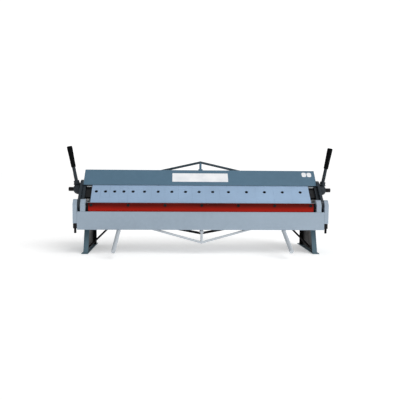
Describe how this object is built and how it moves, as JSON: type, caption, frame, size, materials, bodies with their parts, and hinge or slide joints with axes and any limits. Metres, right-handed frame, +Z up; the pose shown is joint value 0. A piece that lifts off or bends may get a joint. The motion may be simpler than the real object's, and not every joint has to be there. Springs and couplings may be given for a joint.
{
  "type": "sheet metal brake",
  "caption": "Bench-top manual box-and-pan sheet metal brake with segmented clamping fingers, swinging apron, truss rods and two eccentric clamping levers.",
  "frame": {"origin": "middle of the footprint, on the surface that the feet stand on", "axes": "+Z up, +X to the right along the bend line as the operator sees it, +Y away from the operator"},
  "size_m": [1.5118, 0.569, 0.5929],
  "materials": {
    "dark_paint": "semi-gloss blue-grey enamel",
    "light_paint": "semi-gloss pale blue-grey enamel",
    "frame_paint": "semi-gloss dark slate enamel",
    "side_paint": "semi-gloss near-black slate enamel",
    "red_paint": "red enamel on machined steel",
    "finger_steel": "ground steel with a pale blue-grey finish",
    "bare_steel": "machined steel",
    "hub_cast": "dark slate cast iron",
    "black_steel": "black oxide steel",
    "grey_rod": "pale grey painted round bar",
    "black_grip": "moulded black plastic"
  },
  "bodies": {
    "frame": {"bed_table": "bare_steel", "bed_channel": "dark_paint", "bed_truss_rod_left": "black_steel", "side_frame_left": "side_paint", "leg_left": "frame_paint", "foot_plate_left": "frame_paint", "leg_brace_left": "black_steel", "apron_hinge_pin_left": "bare_steel", "beam_pivot_pin_left": "bare_steel", "bed_truss_rod_right": "black_steel", "side_frame_right": "side_paint", "leg_right": "frame_paint", "foot_plate_right": "frame_paint", "leg_brace_right": "black_steel", "apron_hinge_pin_right": "bare_steel", "beam_pivot_pin_right": "bare_steel", "bed_truss_strut": "black_steel"},
    "apron": {"apron_front_plate": "light_paint", "apron_rear_plate": "black_steel", "bending_bar": "red_paint", "apron_truss_strut": "grey_rod", "apron_truss_rod_left": "grey_rod", "apron_lug_left": "light_paint", "apron_end_bar_left": "light_paint", "apron_adjuster_left": "black_steel", "apron_handle_left": "grey_rod", "apron_truss_rod_right": "grey_rod", "apron_lug_right": "light_paint", "apron_end_bar_right": "light_paint", "apron_adjuster_right": "black_steel", "apron_handle_right": "grey_rod"},
    "beam": {"beam_face_plate": "dark_paint", "beam_floor": "dark_paint", "beam_truss_strut": "dark_paint", "beam_truss_rod_left": "dark_paint", "beam_arm_left": "side_paint", "beam_truss_rod_right": "dark_paint", "beam_arm_right": "side_paint", "finger_01": "finger_steel", "finger_02": "finger_steel", "finger_03": "finger_steel", "finger_04": "finger_steel", "finger_05": "finger_steel", "finger_06": "finger_steel", "finger_07": "finger_steel", "finger_08": "finger_steel", "finger_09": "finger_steel", "finger_10": "finger_steel", "finger_11": "finger_steel", "finger_12": "finger_steel", "finger_13": "finger_steel", "finger_14": "finger_steel", "finger_15": "finger_steel", "finger_16": "finger_steel"},
    "lever_left": {"eccentric_shaft_left": "black_steel", "lever_left": "hub_cast", "lever_grip_left": "black_grip"},
    "lever_right": {"eccentric_shaft_right": "black_steel", "lever_right": "hub_cast", "lever_grip_right": "black_grip"}
  },
  "joints": [
    {"name": "apron_swing", "type": "hinge", "parent": "frame", "child": "apron", "pos_m": [0, -0.09447, 0.283], "axis": [-1, 0, 0], "range_deg": [0, 135]},
    {"name": "beam_lift", "type": "hinge", "parent": "frame", "child": "beam", "pos_m": [0, 0.23553, 0.345], "axis": [-1, 0, 0], "range_deg": [0, 5.5]},
    {"name": "lever_left_turn", "type": "hinge", "parent": "frame", "child": "lever_left", "pos_m": [-0.7, 0.02553, 0.35], "axis": [-1, 0, 0], "range_deg": [0, 100]},
    {"name": "lever_right_turn", "type": "hinge", "parent": "frame", "child": "lever_right", "pos_m": [0.7, 0.02553, 0.35], "axis": [-1, 0, 0], "range_deg": [0, 100]}
  ],
  "couplings": [
    {"joint": "lever_left_turn", "follows": "beam_lift", "ratio": 18.182},
    {"joint": "lever_right_turn", "follows": "beam_lift", "ratio": 18.182}
  ]
}
